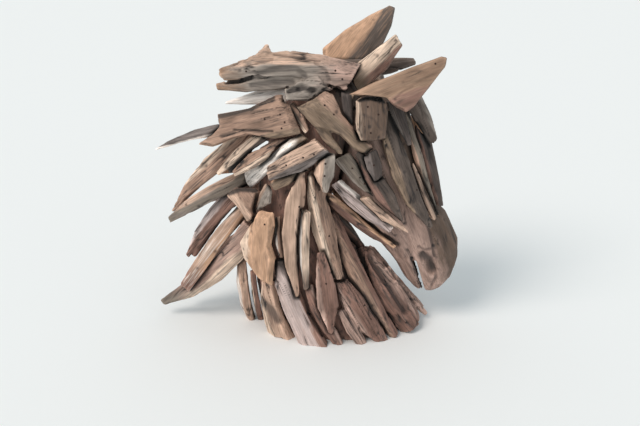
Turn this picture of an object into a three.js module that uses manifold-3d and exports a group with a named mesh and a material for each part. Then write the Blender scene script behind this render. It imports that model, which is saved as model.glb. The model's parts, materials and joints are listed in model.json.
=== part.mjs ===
// A horse's head and neck built up from driftwood: a neck block and a head block, covered
// with split and sea-worn sticks that are nailed on like locks of hair.
// Millimetres, +Z up, +X the way the horse looks, -Y the side the sticks were set out on.
// The origin is in the middle of the neck block's underside, on the floor.
import * as THREE from "three";
import { mergeVertices } from "three/addons/utils/BufferGeometryUtils.js";
import Module from "manifold-3d";

const wasm = await Module();
wasm.setup();

// Clearance between neighbouring pieces, and the floor that every foot is sawn off at
const GAP = 0.4;
const FLOOR_SIZE = 700;

// Neck block: level ellipses, each [height, back edge, front edge, half depth]
const NECK_SECTIONS = [
  [0, -98, 103, 70],
  [40, -107, 80, 67],
  [80, -111, 50, 62],
  [125, -110, 4, 56],
  [165, -106, -16, 51],
  [225, -98, 16, 47],
  [280, -78, 30, 43],
  [312, -58, 24, 34],
  [334, -42, 10, 20],
];
const NECK_SIDES = 12;

// Head block: sections square to the head's axis, which runs from the crown down to the lips.
// Each is [distance along the axis, throat edge, brow edge, half depth].
const CROWN = new THREE.Vector3(43, 0, 279);
const HEAD_LEAN = 21.7; // degrees that the axis leans forward from straight down
const HEAD_SECTIONS = [
  [-24, -34, 22, 24],
  [0, -52, 42, 38],
  [45, -70, 43, 45],
  [95, -76, 40, 46],
  [138, -64, 38, 42],
  [152, -54, 43, 40],
  [195, -42, 45, 36],
  [220, -39, 36, 33],
  [237, -33, 22, 27],
  [247, -22, 8, 15],
];
const HEAD_SIDES = 12;

// Mouth: a saw cut right through the muzzle. Nostrils: hollows in its two sides.
const MOUTH = { from: 190, to: 262, offset: -19, turn: 4.6, open: 3.4 };
const NOSTRIL = { along: 209, across: -3, side: 36, radii: [15, 7, 8], turn: 70 };

// Setting-out drawing: the near side seen from DRAWING_TILT degrees above the horizon, from
// DRAWING_DISTANCE away. A place [u, v] on it is millimetres right of and above its centre.
const DRAWING_TILT = 22;
const DRAWING_DISTANCE = 1250;
const DRAWING_CENTRE = new THREE.Vector3(-24, 0, 150);

// Section of a stick: a rounded rectangle with a soft ridge on its outer face
const STICK_SIDES = 6;
const RING_PITCH = 32;
const CORNER_ROUNDING = 0.5;
const RIDGE_RISE = 0.22;
const WANDER = 0.07;
const CUT_SLOPE = 0.4; // steepest slant of an end, as a rise over a run
const SLAB_BEVEL = 0.86; // a slab's two faces against its outline

// Sticks on the far side follow those of the near side, a little broader and closer to the form
const FAR_BREADTH = 1.22;
const FAR_SINK = 4;

const TONES = {
  tan: { color: 0xb3937a, roughness: 0.82 },
  pale: { color: 0xc7ab95, roughness: 0.85 },
  pink: { color: 0xc3a59c, roughness: 0.84 },
  white: { color: 0xcdc0b8, roughness: 0.9 },
  grey: { color: 0x8f857d, roughness: 0.88 },
  orange: { color: 0xb5855f, roughness: 0.8 },
  red: { color: 0x8d6555, roughness: 0.8 },
  dark: { color: 0x5d4f48, roughness: 0.86 },
  ear: { color: 0xb58d69, roughness: 0.74 },
  muzzle: { color: 0x9b7d70, roughness: 0.78 },
  core: { color: 0x42352e, roughness: 0.92 },
};

// The pieces of wood, outermost first: each is cut a seat by those before it.
// Places are on the setting-out drawing. A stick runs from one place to another; bow is how far
// its middle swings to the left of that line, width is at the root, the belly and the tip, lift
// is above the form at its two ends, and side, where an end stands free, is that end's distance
// from the middle plane. A slab has an outline, and a peak where its outer face stands highest.
const WOOD = {
  near_ear: {
    tone: "ear",
    limbs: [
      {
        outline: [
          [37, 154], [70, 170], [112, 187], [158, 204], [166, 202],
          [163, 190], [142, 163], [122, 138], [112, 131], [99, 137], [85, 149],
        ],
        peak: [112, 168],
        rise: 1.5,
        thick: 11,
        bevel: 0.95,
        side: -50,
        face: [0.1, -0.9, 0.35],
      },
    ],
  },
  temple_block: {
    tone: "tan",
    limbs: [
      {
        outline: [[45, 147], [60, 154], [82, 152], [87, 141], [84, 97], [70, 93], [52, 94], [46, 108]],
        peak: [70, 122],
        rise: 3,
        thick: 24,
        bevel: 0.94,
        side: -54,
        face: [0.15, -0.95, 0.25],
      },
    ],
  },
  brow_wedge: {
    tone: "dark",
    limbs: [{ from: [36, 156], to: [41, 114], bow: -1, width: [17, 16, 6], thick: 13, side: [-46, -52] }],
  },
  mane_pale: {
    tone: "pale",
    limbs: [{ from: [4, 87], to: [-67, 52], bow: 2, width: [26, 30, 18], thick: 14, lift: [22, 24] }],
  },
  neck_peg: {
    tone: "pale",
    limbs: [
      {
        outline: [[-1, 79], [10, 82], [19, 78], [18, 50], [12, 39], [8, 25], [3, 27], [-8, 50]],
        peak: [4, 55],
        rise: 3,
        thick: 14,
        lift: 20,
      },
    ],
  },
  neck_bold: {
    tone: "orange",
    limbs: [
      {
        outline: [
          [-79, 4], [-61, 1], [-59, -16], [-64, -42], [-59, -62],
          [-62, -95], [-76, -88], [-96, -60], [-103, -36], [-90, -14],
        ],
        peak: [-84, -34],
        rise: 7,
        thick: 16,
        lift: 17,
      },
    ],
  },
  foot_leaf: {
    tone: "red",
    limbs: [
      {
        from: [1, -51], to: [14, -156], bow: 1, width: [10, 29, 4],
        bellyAt: 0.58, thick: 12, lift: [15, 14], ridge: -0.7,
      },
    ],
  },
  poll_log: {
    tone: "grey",
    limbs: [
      {
        from: [-123, 180], to: [42, 176], bow: 15, width: [17, 33, 36],
        bellyAt: 0.5, thick: 30, side: [-12, -28],
      },
      {
        from: [-134, 164], to: [-22, 180], bow: -1, width: [8, 26, 28],
        bellyAt: 0.6, thick: 15, side: [-10, -24],
      },
      { from: [-73, 193], to: [-69, 220], width: [38, 22, 4], thick: 14, side: [-18, -17] },
      { from: [6, 172], to: [-46, 154], bow: 4, width: [28, 26, 15], thick: 22, side: [-34, -42] },
    ],
  },
  cheek_fork: {
    tone: "tan",
    limbs: [
      {
        outline: [
          [-31, 138], [-8, 149], [6, 160], [17, 156], [27, 130], [47, 112],
          [71, 83], [62, 74], [44, 82], [26, 101], [8, 108], [-8, 112],
        ],
        peak: [12, 128],
        rise: 5,
        thick: 13,
        lift: 17,
      },
      { from: [2, 114], to: [27, 79], bow: -4, width: [19, 13, 6], thick: 9, lift: [15, 16] },
    ],
  },
  mane_plank: {
    tone: "tan",
    limbs: [
      {
        outline: [
          [-134, 129], [-92, 137], [-60, 153], [-46, 155], [-30, 124],
          [-23, 102], [-60, 96], [-92, 102], [-112, 97],
          [-140, 86], [-158, 89], [-141, 101], [-131, 112],
        ],
        peak: [-70, 122],
        rise: 3,
        thick: 16,
        side: -36,
        face: [-0.3, -0.9, 0.3],
      },
    ],
  },
  jaw_pale: {
    tone: "pale",
    limbs: [{ from: [57, 21], to: [115, -25], bow: -3, width: [13, 13, 3], thick: 8, lift: [13, 11] }],
  },
  neck_step: {
    tone: "pale",
    limbs: [{ from: [-19, 4], to: [-18, -99], bow: -3, width: [13, 15, 8], thick: 12, lift: [16, 15] }],
  },
  neck_long_back: {
    tone: "tan",
    limbs: [
      {
        from: [-22, 56], to: [-30, -109], bow: -11, width: [9, 28, 6],
        bellyAt: 0.42, thick: 13, lift: [14, 14], ridge: -0.4,
      },
    ],
  },
  neck_long_front: {
    tone: "tan",
    limbs: [
      {
        from: [-9, 52], to: [23, -87], bow: -3, width: [20, 31, 16],
        bellyAt: 0.5, thick: 16, lift: [10, 10], ridge: 0.1,
      },
    ],
  },
  face_broad: {
    tone: "tan",
    limbs: [
      {
        from: [88, 132], to: [144, -18], bow: -11, width: [20, 29, 6],
        bellyAt: 0.5, thick: 13, lift: [7, 9], ridge: -0.2,
      },
    ],
  },
  face_strip_low: {
    tone: "grey",
    limbs: [{ from: [118, 63], to: [150, -7], bow: -2, width: [8, 15, 10], thick: 9, lift: [7, 6] }],
  },
  face_strip_long: {
    tone: "tan",
    limbs: [{ from: [110, 139], to: [152, -6], bow: -2, width: [8, 12, 7], thick: 9, lift: [6, 6] }],
  },
  brow_slat: {
    tone: "dark",
    limbs: [
      {
        from: [119, 147], to: [147, 94], bow: 2, width: [27, 23, 14],
        thick: 12, side: [-16, -18],
      },
    ],
  },
  forehead_slat: {
    tone: "red",
    limbs: [
      {
        from: [128, 116], to: [155, 10], bow: 0, width: [11, 21, 10],
        bellyAt: 0.5, thick: 13, side: [-18, -17],
      },
    ],
  },
  face_strip_dark: {
    tone: "dark",
    limbs: [{ from: [94, 147], to: [116, 89], bow: -1, width: [18, 19, 6], thick: 9, side: [-36, -42] }],
  },
  cheek_block: {
    tone: "red",
    limbs: [{ from: [65, 78], to: [76, 44], width: [19, 21, 13], thick: 13, lift: [13, 12] }],
  },
  cheek_long: {
    tone: "red",
    limbs: [
      {
        from: [49, 79], to: [107, -11], bow: -1, width: [10, 28, 5],
        bellyAt: 0.6, thick: 13, lift: [9, 8], ridge: -0.7,
      },
    ],
  },
  cheek_grey: {
    tone: "grey",
    limbs: [{ from: [28, 74], to: [73, 23], bow: 1, width: [24, 28, 12], thick: 10, lift: [7, 7] }],
  },
  jaw_grey: {
    tone: "grey",
    limbs: [
      {
        from: [21, 40], to: [93, -22], bow: -3, width: [15, 20, 9],
        thick: 11, lift: [8, 8], ridge: 0.3,
      },
    ],
  },
  jaw_edge: {
    tone: "red",
    limbs: [{ from: [8, 24], to: [98, -44], bow: -3, width: [16, 22, 6], thick: 12, lift: [4, 4] }],
  },
  mane_white: {
    tone: "white",
    limbs: [
      {
        from: [-21, 100], to: [-92, 43], bow: -2, width: [13, 18, 23],
        bellyAt: 0.6, thick: 10, lift: [13, 15],
      },
    ],
  },
  mane_barked: {
    tone: "tan",
    limbs: [
      {
        from: [-31, 97], to: [-113, 51], bow: -3, width: [6, 22, 9],
        bellyAt: 0.5, thick: 11, lift: [9, 0], side: [null, -34],
      },
    ],
  },
  mane_wedge: {
    tone: "orange",
    limbs: [
      {
        outline: [
          [-121, 26], [-110, 34], [-84, 33], [-79, 27],
          [-86, 4], [-82, -11], [-90, -13], [-102, 6],
        ],
        peak: [-96, 20],
        rise: 4,
        thick: 18,
        side: -38,
        face: [-0.4, -0.85, 0.2],
      },
    ],
  },
  mane_orange: {
    tone: "orange",
    limbs: [{ from: [-16, 61], to: [-62, 34], bow: -1, width: [12, 21, 12], thick: 12, lift: [11, 13] }],
  },
  mane_fin: {
    tone: "grey",
    limbs: [{ from: [-66, 38], to: [-84, 3], bow: 4, width: [9, 20, 4], thick: 9, lift: [14, 14] }],
  },
  mane_split: {
    tone: "pale",
    limbs: [
      { from: [-74, 101], to: [-133, 51], bow: -2, width: [16, 15, 6], thick: 10, side: [-34, -24] },
      { from: [-92, 83], to: [-117, 53], bow: 1, width: [12, 11, 5], thick: 8, side: [-31, -26] },
    ],
  },
  mane_ribbed: {
    tone: "grey",
    limbs: [
      {
        from: [-88, 50], to: [-196, -9], bow: -4, width: [20, 22, 8],
        bellyAt: 0.5, thick: 15, lift: [5, 0], side: [null, -18],
      },
    ],
  },
  mane_blade: {
    tone: "tan",
    limbs: [
      {
        from: [-80, 106], to: [-191, 3], bow: -9, width: [26, 27, 3],
        thick: 15, side: [-12, 4], ridge: -0.5,
      },
    ],
  },
  mane_long_upper: {
    tone: "tan",
    limbs: [
      {
        from: [-97, 9], to: [-175, -96], bow: -2, width: [20, 22, 15],
        thick: 15, lift: [4, 0], side: [null, -16], ridge: 0.4,
      },
    ],
  },
  mane_fork: {
    tone: "dark",
    limbs: [
      { from: [-87, 47], to: [-172, -56], bow: -9, width: [22, 20, 5], thick: 13, side: [-4, 6] },
      { from: [-110, 16], to: [-163, -54], bow: -5, width: [16, 15, 7], thick: 12, side: [-3, 5] },
    ],
  },
  mane_long_lower: {
    tone: "grey",
    limbs: [
      {
        from: [-88, -19], to: [-204, -116], bow: 12, width: [30, 32, 9],
        thick: 16, side: [-20, 2], ridge: -0.4,
      },
    ],
  },
  mane_shard: {
    tone: "white",
    limbs: [
      {
        from: [-42, 154], to: [-123, 143], bow: -1, width: [22, 17, 3],
        thick: 9, side: [-14, -8],
      },
    ],
  },
  mane_horn: {
    tone: "grey",
    limbs: [
      {
        from: [-106, 110], to: [-213, 83], bow: -6, width: [16, 14, 2],
        bellyAt: 0.3, thick: 12, side: [-26, 2],
      },
    ],
  },
  cheek_sliver: {
    tone: "pale",
    limbs: [{ from: [-38, 141], to: [-17, 106], bow: 1, width: [11, 14, 6], thick: 10, lift: [12, 12] }],
  },
  forelock: {
    tone: "grey",
    limbs: [
      {
        from: [44, 172], to: [103, 225], bow: -3, width: [32, 29, 16],
        thick: 17, side: [-12, -20], ridge: -0.1,
      },
    ],
  },
  far_ear: {
    tone: "ear",
    limbs: [
      {
        outline: [
          [4, 188], [3, 214], [32, 238], [62, 256], [90, 270],
          [98, 267], [93, 243], [79, 212], [58, 164], [38, 154],
        ],
        peak: [58, 232],
        rise: 5,
        thick: 13,
        bevel: 0.93,
        side: 40,
        face: [0.15, -0.85, 0.5],
      },
    ],
  },
  brow_bar: {
    tone: "dark",
    limbs: [{ from: [-6, 186], to: [123, 197], bow: -4, width: [28, 26, 9], thick: 12, side: [6, 10] }],
  },
  foot_pink: {
    tone: "pink",
    limbs: [
      {
        from: [-54, -60], to: [-5, -176], bow: -5, width: [16, 32, 36],
        bellyAt: 0.6, thick: 17, lift: [8, 10], ridge: 0.5,
      },
    ],
  },
  foot_red: {
    tone: "red",
    limbs: [
      { from: [-15, -92], to: [9, -156], bow: -2, width: [11, 18, 10], thick: 11, lift: [7, 7] },
      { from: [5, -138], to: [25, -172], width: [10, 16, 13], thick: 11, lift: [6, 6] },
    ],
  },
  neck_back_small: {
    tone: "tan",
    limbs: [{ from: [-55, -4], to: [-48, -66], bow: -3, width: [9, 14, 5], thick: 10, lift: [8, 8] }],
  },
  neck_right: {
    tone: "tan",
    limbs: [
      {
        from: [13, 8], to: [98, -160], bow: -9, width: [11, 24, 12],
        bellyAt: 0.5, thick: 14, lift: [6, 7], ridge: 0.3,
      },
    ],
  },
  foot_burr: {
    tone: "red",
    limbs: [
      { from: [27, -88], to: [84, -171], bow: -2, width: [19, 34, 12], thick: 17, lift: [7, 8] },
      { from: [27, -126], to: [56, -173], width: [10, 17, 12], thick: 12, lift: [7, 7] },
    ],
  },
  foot_bark: {
    tone: "orange",
    limbs: [
      {
        from: [-68, -88], to: [-47, -167], bow: -4, width: [18, 32, 37],
        bellyAt: 0.6, thick: 18, lift: [5, 6],
      },
    ],
  },
  foot_left: {
    tone: "tan",
    limbs: [
      {
        from: [-101, -56], to: [-83, -149], bow: -6, width: [15, 24, 12],
        thick: 15, lift: [5, 5], ridge: 0.2,
      },
    ],
  },
  foot_thin: {
    tone: "red",
    limbs: [{ from: [-87, -76], to: [-74, -156], bow: -2, width: [7, 14, 11], thick: 11, lift: [4, 4] }],
  },
  chest_log: {
    tone: "red",
    limbs: [
      {
        from: [58, -46], to: [117, -143], bow: -2, width: [28, 43, 42],
        bellyAt: 0.5, thick: 24, lift: [5, 6], ridge: 0.2,
      },
      { from: [86, -70], to: [134, -121], bow: -1, width: [9, 7, 3], thick: 9, side: [-22, -2] },
      { from: [96, -86], to: [137, -130], bow: -2, width: [13, 11, 5], thick: 12, side: [-25, -6] },
    ],
  },
  throat_slat: {
    tone: "dark",
    limbs: [{ from: [8, 5], to: [64, -58], bow: 1, width: [13, 22, 14], thick: 12, lift: [2, 2] }],
  },
};

// Limbs carried over to the far side
function acrossFrom(limbs) {
  const sunk = (lift) => (Array.isArray(lift) ? lift.map(sunk) : lift && Math.max(4, lift - FAR_SINK));
  return limbs.map((limb) => ({ ...limb, lift: sunk(limb.lift), breadth: FAR_BREADTH, mirrored: true }));
}

function acrossFromPieces(...names) {
  return acrossFrom(names.flatMap((name) => WOOD[name].limbs));
}

// Bundles of the far side: broader copies of near pieces laid over each other where they
// touch, with a chest and locks of the mane of their own
const FAR_BUNDLES = {
  far_temple: {
    tone: "tan",
    limbs: [
      ...acrossFromPieces("temple_block", "cheek_fork", "mane_pale"),
      { from: [-30, 108], to: [-124, 108], bow: -2, width: [40, 36, 24], thick: 15, side: [50, 18] },
      { from: [-48, 72], to: [-160, 53], bow: -2, width: [36, 26, 6], thick: 14, side: [53, 20] },
    ],
  },
  far_face: {
    tone: "tan",
    limbs: acrossFromPieces(
      "forehead_slat",
      "face_broad",
      "face_strip_low",
      "face_strip_long",
      "cheek_long",
    ),
  },
  far_jaw: { tone: "grey", limbs: acrossFromPieces("cheek_grey", "jaw_grey", "jaw_edge") },
  far_neck: {
    tone: "tan",
    limbs: [
      ...acrossFromPieces("neck_long_back", "neck_step", "neck_long_front", "neck_right", "foot_leaf"),
      { from: [-42, 40], to: [-176, 5], bow: -9, width: [34, 18, 6], thick: 14, side: [56, 15] },
    ],
  },
  far_feet: {
    tone: "red",
    limbs: [
      ...acrossFromPieces("foot_pink", "foot_bark", "neck_bold"),
      { from: [-56, -2], to: [-165, -84], bow: -3, width: [34, 24, 9], thick: 14, side: [54, 14] },
      { from: [-56, -34], to: [-178, -102], bow: -8, width: [34, 24, 9], thick: 14, side: [54, 20] },
    ],
  },
  far_chest: {
    tone: "red",
    limbs: acrossFrom([
      { from: [72, -92], to: [108, -166], width: [27, 38, 34], thick: 20, lift: [9, 10] },
      { from: [36, -92], to: [78, -174], width: [22, 38, 24], thick: 17, lift: [10, 11] },
    ]),
  },
};

const radians = THREE.MathUtils.degToRad;

// A row of a section table at a place between its rows
function sectionAt(table, place) {
  const last = table.length - 1;
  const at = THREE.MathUtils.clamp(place, table[0][0], table[last][0]);
  const next = Math.max(1, table.findIndex((row) => row[0] >= at));
  const [before, after] = [table[next - 1], table[next]];
  const share = (at - before[0]) / (after[0] - before[0]);
  return before.map((value, i) => THREE.MathUtils.lerp(value, after[i], share));
}

// Distance of a flat point from an ellipse given by its two edges and its half depth
function ellipseDistance(across, y, [, low, high, depth]) {
  const offset = across - (low + high) / 2;
  const reach = Math.hypot(offset / ((high - low) / 2), y / depth);
  return reach < 1e-6 ? -depth : Math.hypot(offset, y) * (1 - 1 / reach);
}

const headAlong = new THREE.Vector3(Math.sin(radians(HEAD_LEAN)), 0, -Math.cos(radians(HEAD_LEAN)));
const headAcross = new THREE.Vector3(Math.cos(radians(HEAD_LEAN)), 0, Math.sin(radians(HEAD_LEAN)));

// A point of the head from its distance along the axis, across it and to the side
function headPoint(along, across, y) {
  return CROWN.clone().addScaledVector(headAlong, along).addScaledVector(headAcross, across).setY(y);
}

function neckDistance(p) {
  const top = NECK_SECTIONS.at(-1)[0];
  return Math.max(ellipseDistance(p.x, p.y, sectionAt(NECK_SECTIONS, p.z)), p.z - top);
}

function headDistance(p) {
  const from = p.clone().sub(CROWN);
  const along = from.dot(headAlong);
  const side = ellipseDistance(from.dot(headAcross), p.y, sectionAt(HEAD_SECTIONS, along));
  return Math.max(side, HEAD_SECTIONS[0][0] - along, along - HEAD_SECTIONS.at(-1)[0]);
}

// Distance from the form that the sticks lie on: the neck and the head together
function formDistance(p) {
  return Math.min(neckDistance(p), headDistance(p));
}

const [rise, run] = [Math.sin(radians(DRAWING_TILT)), Math.cos(radians(DRAWING_TILT))];
const drawingUp = new THREE.Vector3(0, rise, run);
const drawingAhead = new THREE.Vector3(0, run, -rise);
const drawingEye = DRAWING_CENTRE.clone().addScaledVector(drawingAhead, -DRAWING_DISTANCE);

// The line of sight through a place on the drawing
function sightLine([u, v]) {
  const target = DRAWING_CENTRE.clone().addScaledVector(drawingUp, v);
  target.x += u;
  return new THREE.Ray(drawingEye.clone(), target.sub(drawingEye).normalize());
}

// Where a line of sight first comes within a lift of the form, or passes nearest to it
function settle(place, lift) {
  const line = sightLine(place);
  const reach = 350;
  const step = 0.8;
  const p = new THREE.Vector3();
  let nearest = Infinity;
  let at = DRAWING_DISTANCE;
  for (let t = DRAWING_DISTANCE - reach; t < DRAWING_DISTANCE + reach; t += step) {
    const clearance = formDistance(line.at(t, p)) - lift;
    if (clearance < nearest) {
      nearest = clearance;
      at = t;
    }
    if (clearance <= 0) break;
  }
  return line.at(at, p);
}

// Where a line of sight crosses the upright plane a distance y from the middle plane
function atSide(place, y) {
  const line = sightLine(place);
  return line.at((y - line.origin.y) / line.direction.y, new THREE.Vector3());
}

// The way out from the form near a point
function outward(p) {
  const step = 2;
  const slope = ["x", "y", "z"].map((axis) => {
    const [ahead, behind] = [p.clone(), p.clone()];
    ahead[axis] += step;
    behind[axis] -= step;
    return formDistance(ahead) - formDistance(behind);
  });
  return new THREE.Vector3(...slope).normalize();
}

// Repeatable chance, so that no two sticks are worn alike and each build gives the same ones
function chanceFrom(seed) {
  let state = seed >>> 0;
  return () => {
    state = (Math.imul(state, 1664525) + 1013904223) >>> 0;
    return state / 2 ** 32;
  };
}

function seedOf(name) {
  return [...name].reduce((sum, letter) => Math.imul(sum, 31) + letter.charCodeAt(0), 7);
}

// The two triangles of each quad between neighbouring rings of points
function ringSides(rings, sides) {
  const index = [];
  for (let r = 0; r + 1 < rings; r++)
    for (let k = 0; k < sides; k++) {
      const [a, b] = [r * sides + k, r * sides + ((k + 1) % sides)];
      index.push(a, b, a + sides, b, b + sides, a + sides);
    }
  return index;
}

function geometryFrom(points, index) {
  const geometry = new THREE.BufferGeometry();
  const flat = points.flatMap((p) => [p.x, p.y, p.z]);
  geometry.setAttribute("position", new THREE.Float32BufferAttribute(flat, 3));
  return geometry.setIndex(index);
}

// A closed surface through rings of points, with a flat cap at each end
function loft(rings) {
  const sides = rings[0].length;
  const index = ringSides(rings.length, sides);
  const last = (rings.length - 1) * sides;
  for (let k = 1; k + 1 < sides; k++) {
    index.push(0, k + 1, k);
    index.push(last, last + k, last + k + 1);
  }
  return geometryFrom(rings.flat(), index);
}

function solidOf(geometry) {
  const bare = geometry.clone();
  bare.deleteAttribute("normal");
  bare.deleteAttribute("uv");
  const merged = mergeVertices(bare, 1e-4);
  const vertProperties = new Float32Array(merged.attributes.position.array);
  const triVerts = new Uint32Array(merged.index.array);
  const solid = new wasm.Manifold(new wasm.Mesh({ numProp: 3, vertProperties, triVerts }));
  if (solid.volume() > 0) return solid;
  for (let i = 0; i < triVerts.length; i += 3)
    [triVerts[i + 1], triVerts[i + 2]] = [triVerts[i + 2], triVerts[i + 1]];
  return new wasm.Manifold(new wasm.Mesh({ numProp: 3, vertProperties, triVerts }));
}

function geometryOf(solid) {
  const mesh = solid.getMesh();
  const geometry = new THREE.BufferGeometry();
  geometry.setAttribute("position", new THREE.Float32BufferAttribute(mesh.vertProperties, 3));
  geometry.setIndex(new THREE.BufferAttribute(mesh.triVerts, 1));
  return geometry;
}

// The largest body of a cut piece, without the chips that the cut leaves loose
function withoutChips(solid) {
  const bodies = solid.decompose();
  return bodies.reduce((most, body) => (body.volume() > most.volume() ? body : most));
}

function mirroredRing(ring, mirrored) {
  return mirrored ? ring.map((p) => p.setY(-p.y)) : ring;
}

// Width along a stick: root, belly and tip, with the belly at a share of the length
function widthAt(t, [root, belly, tip], bellyAt) {
  const share = t < bellyAt ? 1 - t / bellyAt : (t - bellyAt) / (1 - bellyAt);
  const end = t < bellyAt ? root : tip;
  return THREE.MathUtils.lerp(belly, end, share ** 1.7);
}

// The three points that a stick's middle line passes through
function spineOf({ from, to, bow = 0, lift = [5, 5], side = [null, null] }) {
  const [du, dv] = [to[0] - from[0], to[1] - from[1]];
  const length = Math.hypot(du, dv);
  const [aside, above] = [(-bow * dv) / length, (bow * du) / length];
  const middle = [(from[0] + to[0]) / 2 + aside, (from[1] + to[1]) / 2 + above];
  const rest = (place, i) => (side[i] === null ? settle(place, lift[i]) : atSide(place, side[i]));
  const [root, tip] = [rest(from, 0), rest(to, 1)];
  const free = side[0] !== null || side[1] !== null;
  const belly = free ? atSide(middle, (root.y + tip.y) / 2) : settle(middle, (lift[0] + lift[1]) / 2);
  return [root, belly, tip];
}

// One stick: a tapering, slightly bent and faceted length of split wood.
// grow makes it that much fatter and longer, to cut a seat for it in its neighbours.
function stick(name, spec, grow) {
  const { width, bellyAt = 0.45, thick, ridge = 0, breadth = 1, mirrored = false } = spec;
  const [root, belly, tip] = spineOf(spec);
  const bend = belly.clone().multiplyScalar(2).addScaledVector(root, -0.5).addScaledVector(tip, -0.5);
  const spine = new THREE.QuadraticBezierCurve3(root, bend, tip);
  const steps = THREE.MathUtils.clamp(Math.round(root.distanceTo(tip) / RING_PITCH), 2, mirrored ? 3 : 4);
  const chance = chanceFrom(seedOf(name));
  const face = spec.side ? drawingAhead.clone().negate() : outward(belly);
  const cuts = [0, 1].map(() => [CUT_SLOPE * (2 * chance() - 1), CUT_SLOPE * (2 * chance() - 1)]);
  const rings = [];
  for (let r = 0; r <= steps; r++) {
    const t = r / steps;
    const cut = r === 0 ? cuts[0] : r === steps ? cuts[1] : [0, 0];
    const along = spine.getTangent(t);
    const across = new THREE.Vector3().crossVectors(along, face).normalize();
    const out = new THREE.Vector3().crossVectors(across, along).normalize();
    const wide = widthAt(t, width, bellyAt) * breadth;
    const deep = thick * Math.min(1, 0.35 + (0.65 * wide) / (width[1] * breadth));
    const endwise = r === 0 ? -2 * grow : r === steps ? 2 * grow : 0;
    const ring = [];
    for (let k = 0; k < STICK_SIDES; k++) {
      const turn = ((k + 0.5) / STICK_SIDES) * 2 * Math.PI;
      const worn = 1 + WANDER * (2 * chance() - 1);
      const [c, s] = [Math.cos(turn), Math.sin(turn)];
      const crest = s > 0.99;
      const half = Math.sign(c) * Math.abs(c) ** CORNER_ROUNDING * (wide / 2) * worn;
      const w = half + (crest ? (ridge * wide) / 2 : Math.sign(c) * grow);
      const rise = Math.sign(s) * Math.abs(s) ** CORNER_ROUNDING * (deep / 2) * worn;
      const h = rise * (crest ? 1 + RIDGE_RISE : 1) + Math.sign(s) * grow;
      const p = spine.getPoint(t).addScaledVector(across, w).addScaledVector(out, h);
      ring.push(p.addScaledVector(along, cut[0] * w + cut[1] * h + endwise));
    }
    rings.push(mirroredRing(ring, mirrored));
  }
  return solidOf(loft(rings));
}

// A slab: a flat piece with an outline of its own, bevelled edges and a raised outer face
function slab(spec, grow) {
  const { outline, peak, rise, thick, bevel = SLAB_BEVEL, breadth = 1, mirrored = false } = spec;
  const middle = [0, 1].map((i) => outline.reduce((sum, place) => sum + place[i], 0) / outline.length);
  const centre = spec.side === undefined ? settle(middle, spec.lift) : atSide(middle, spec.side);
  const face = spec.face ? new THREE.Vector3(...spec.face).normalize() : outward(centre);
  const plane = new THREE.Plane().setFromNormalAndCoplanarPoint(face, centre);
  const onPlane = (place) => sightLine(place).intersectPlane(plane, new THREE.Vector3());
  const edge = outline.map(onPlane).map((p) => p.sub(centre).multiplyScalar(breadth));
  const layer = (share, height) =>
    edge.map((p) => {
      const reach = p.clone().multiplyScalar(share);
      return reach.addScaledVector(p.clone().normalize(), grow).add(centre).addScaledVector(face, height);
    });
  const half = thick / 2 + grow;
  const rings = [layer(bevel, half), layer(1, 0), layer(bevel, -half)];
  const sides = outline.length;
  const apex = onPlane(peak).addScaledVector(face, half + rise);
  const heel = centre.clone().addScaledVector(face, -half);
  const index = ringSides(rings.length, sides);
  const last = (rings.length - 1) * sides;
  for (let k = 0; k < sides; k++) {
    const next = (k + 1) % sides;
    index.push(last + sides, next, k);
    index.push(last + sides + 1, last + k, last + next);
  }
  return solidOf(geometryFrom(mirroredRing([...rings.flat(), apex, heel], mirrored), index));
}

// A piece of wood from its limbs, which are one piece where they meet
function piece(name, limbs, grow = 0) {
  return limbs
    .map((limb, i) => (limb.outline ? slab(limb, grow) : stick(name + (i || ""), limb, grow)))
    .reduce((whole, limb) => whole.add(limb));
}

function neckBlock() {
  const rings = NECK_SECTIONS.map(([z, back, front, depth]) => {
    const ring = [];
    for (let k = 0; k < NECK_SIDES; k++) {
      const turn = (k / NECK_SIDES) * 2 * Math.PI;
      const x = (back + front) / 2 + ((front - back) / 2) * Math.cos(turn);
      ring.push(new THREE.Vector3(x, depth * Math.sin(turn), z));
    }
    return ring;
  });
  return solidOf(loft(rings));
}

function headForm(grow = 0) {
  const rings = HEAD_SECTIONS.map(([along, low, high, depth]) => {
    const ring = [];
    for (let k = 0; k < HEAD_SIDES; k++) {
      const turn = (k / HEAD_SIDES) * 2 * Math.PI;
      const across = (low + high) / 2 + ((high - low) / 2 + grow) * Math.cos(turn);
      ring.push(headPoint(along, across, (depth + grow) * Math.sin(turn)));
    }
    return ring;
  });
  return solidOf(loft(rings));
}

// The head block with its sawn mouth and hollow nostrils
function headBlock() {
  const mouth = new THREE.BoxGeometry(MOUTH.open, 120, MOUTH.to - MOUTH.from);
  mouth.rotateY(radians(MOUTH.turn - HEAD_LEAN));
  const middle = headPoint((MOUTH.from + MOUTH.to) / 2, MOUTH.offset, 0);
  let block = headForm().subtract(solidOf(mouth.translate(middle.x, 0, middle.z)));
  for (const y of [-NOSTRIL.side, NOSTRIL.side]) {
    const hollow = new THREE.SphereGeometry(1, 8, 5).scale(...NOSTRIL.radii);
    hollow.rotateY(radians(NOSTRIL.turn - HEAD_LEAN));
    const centre = headPoint(NOSTRIL.along, NOSTRIL.across, y);
    block = block.subtract(solidOf(hollow.translate(centre.x, centre.y, centre.z)));
  }
  return block;
}

// Everything below the floor, which is sawn away
const belowFloor = solidOf(
  new THREE.BoxGeometry(FLOOR_SIZE, FLOOR_SIZE, FLOOR_SIZE).translate(0, 0, -FLOOR_SIZE / 2),
);

const sculpture = new THREE.Group();
const seats = [];

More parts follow.
